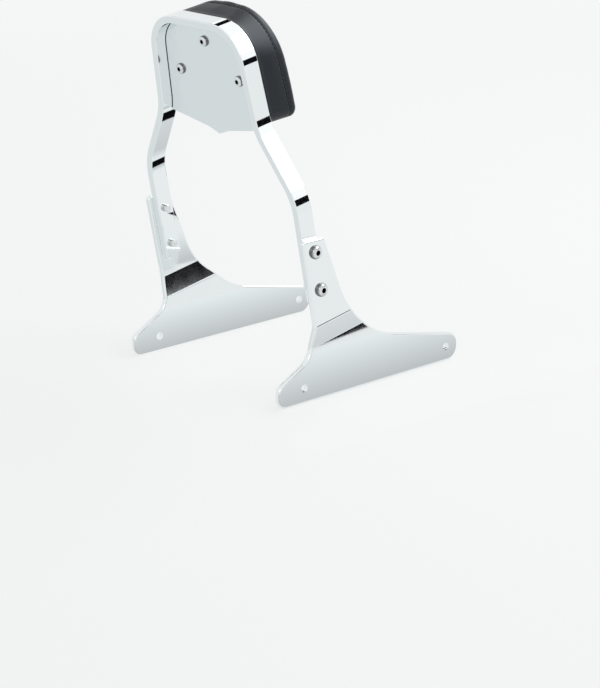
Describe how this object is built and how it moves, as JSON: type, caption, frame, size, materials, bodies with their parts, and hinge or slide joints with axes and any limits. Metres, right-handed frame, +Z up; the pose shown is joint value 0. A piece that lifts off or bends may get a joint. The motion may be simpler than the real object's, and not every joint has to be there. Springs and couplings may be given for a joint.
{
  "type": "motorcycle backrest",
  "caption": "Chromed flat-bar passenger backrest for a motorcycle: bent hoop with inset panel and upholstered pad, on joggled side plates that bolt to the rear frame.",
  "frame": {"origin": "on the axis of the rear mounting bolts, midway between the two side plates", "axes": "+X to the rider's right, +Y forward along the line of the mounting bolts, +Z up"},
  "size_m": [0.2576, 0.2582, 0.3879],
  "materials": {
    "hoop_chrome": "polished",
    "panel_chrome": "polished",
    "plate_chrome": "polished",
    "fastener_chrome": "polished",
    "zinc_steel": "zinc plated",
    "vinyl": "satin",
    "foam": "open cell foam",
    "board": "bare plywood"
  },
  "bodies": {
    "root": {"upright_hoop": "hoop_chrome", "back_panel": "panel_chrome", "side_plate_left": "plate_chrome", "side_plate_right": "plate_chrome", "pad_side_band": "vinyl", "pad_face_cover": "vinyl", "pad_foam": "foam", "pad_base_board": "board", "pad_staples": "zinc_steel", "pad_tee_nut_top": "zinc_steel", "pad_tee_nut_left": "zinc_steel", "pad_tee_nut_right": "zinc_steel", "pad_screw_top": "fastener_chrome", "pad_screw_left": "fastener_chrome", "pad_screw_right": "fastener_chrome", "hoop_bolt_left_lower": "fastener_chrome", "hoop_bolt_left_upper": "fastener_chrome", "hoop_bolt_right_lower": "fastener_chrome", "hoop_bolt_right_upper": "fastener_chrome"}
  },
  "joints": []
}
